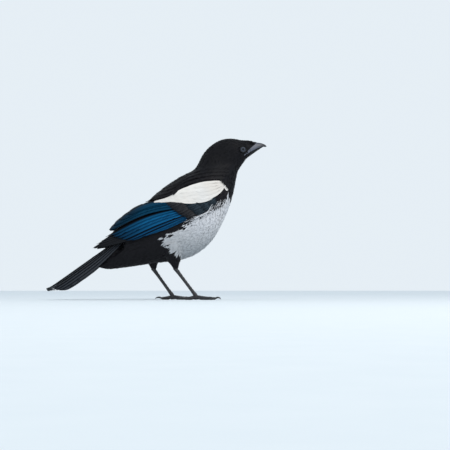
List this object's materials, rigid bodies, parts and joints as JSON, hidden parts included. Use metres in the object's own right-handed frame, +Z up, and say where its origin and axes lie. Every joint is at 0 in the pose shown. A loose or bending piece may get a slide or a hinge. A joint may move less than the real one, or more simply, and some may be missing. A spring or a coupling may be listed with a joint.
{
  "type": "eurasian magpie",
  "caption": "Life-size standing black-and-white bird with a blue-green folded wing, raised head and low tail.",
  "frame": {"origin": "middle of the bounding box, on the floor that the feet stand on", "axes": "+X forward towards the bill, +Y to the bird's left, +Z up"},
  "size_m": [0.296, 0.0792, 0.218],
  "materials": {
    "black_feathers": "soft black plumage, faintly glossy",
    "white_feathers": "soft matte white plumage",
    "tail_feathers": "slate-black vanes, faintly glossy",
    "wing_feathers": "blue-green glossy flight feathers with white shoulder patch and black coverts and tips",
    "leg_skin": "scaled black skin, satin",
    "bill_horn": "blue-grey to black horn, satin",
    "claw_horn": "black horn, satin",
    "eye": "wet gloss, grey-blue iris round a black pupil"
  },
  "bodies": {
    "root": {"head": "black_feathers", "neck": "black_feathers", "torso": "white_feathers", "tail_base": "black_feathers", "tail": "tail_feathers", "wing_right": "wing_feathers", "wing_left": "wing_feathers", "thigh_right": "black_feathers", "thigh_left": "black_feathers", "shank_right": "leg_skin", "shank_left": "leg_skin", "foot_right": "leg_skin", "foot_left": "leg_skin", "bill_upper": "bill_horn", "bill_lower": "bill_horn", "eye_right": "eye", "eye_left": "eye", "claw_inner_right": "claw_horn", "claw_middle_right": "claw_horn", "claw_outer_right": "claw_horn", "claw_hind_right": "claw_horn", "claw_inner_left": "claw_horn", "claw_middle_left": "claw_horn", "claw_outer_left": "claw_horn", "claw_hind_left": "claw_horn"}
  },
  "joints": []
}
